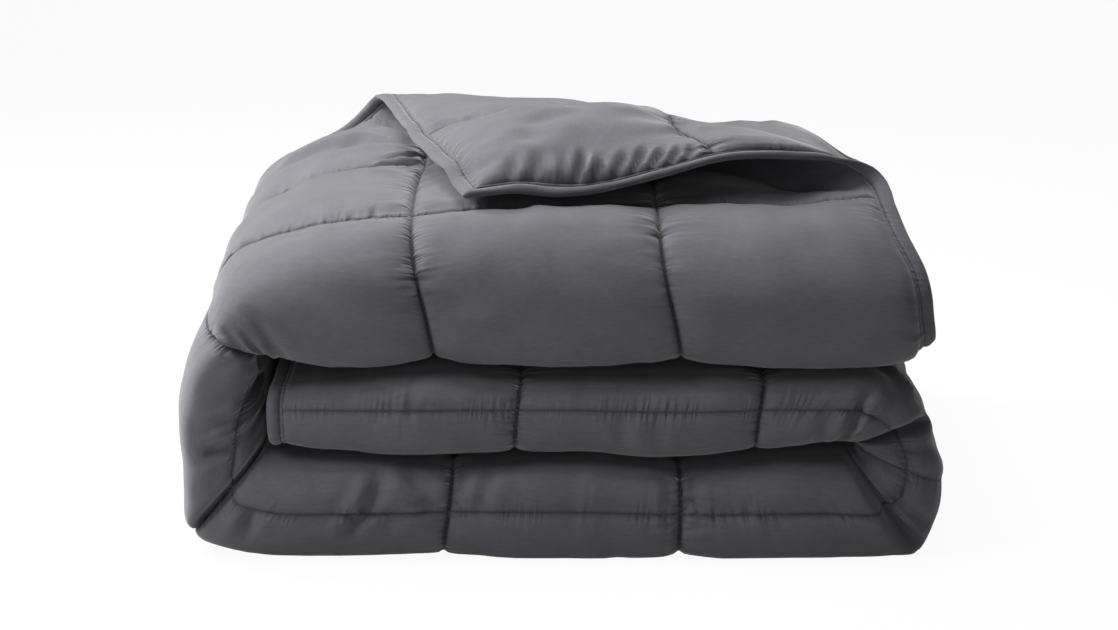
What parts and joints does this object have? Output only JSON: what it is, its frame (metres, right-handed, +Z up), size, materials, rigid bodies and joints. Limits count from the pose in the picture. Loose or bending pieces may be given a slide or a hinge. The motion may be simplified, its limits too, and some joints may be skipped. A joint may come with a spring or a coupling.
{
  "type": "folded duvet",
  "caption": "King-size box-stitched duvet with a bound edge, folded into a low square bundle in three panels, its top back corner turned over as a flap.",
  "frame": {"origin": "on the resting surface, under the middle of the bundle's box", "axes": "+Z up, +X to the right along the long front folds, +Y to the back where the hems lie"},
  "size_m": [0.7138, 0.6562, 0.3904],
  "materials": {
    "quilted_cloth": "dark grey brushed microfibre, plain weave, soft sheen",
    "binding_cloth": "the same dark grey microfibre, folded and stitched flat"
  },
  "bodies": {
    "root": {"duvet": "quilted_cloth", "binding": "binding_cloth"}
  },
  "joints": []
}
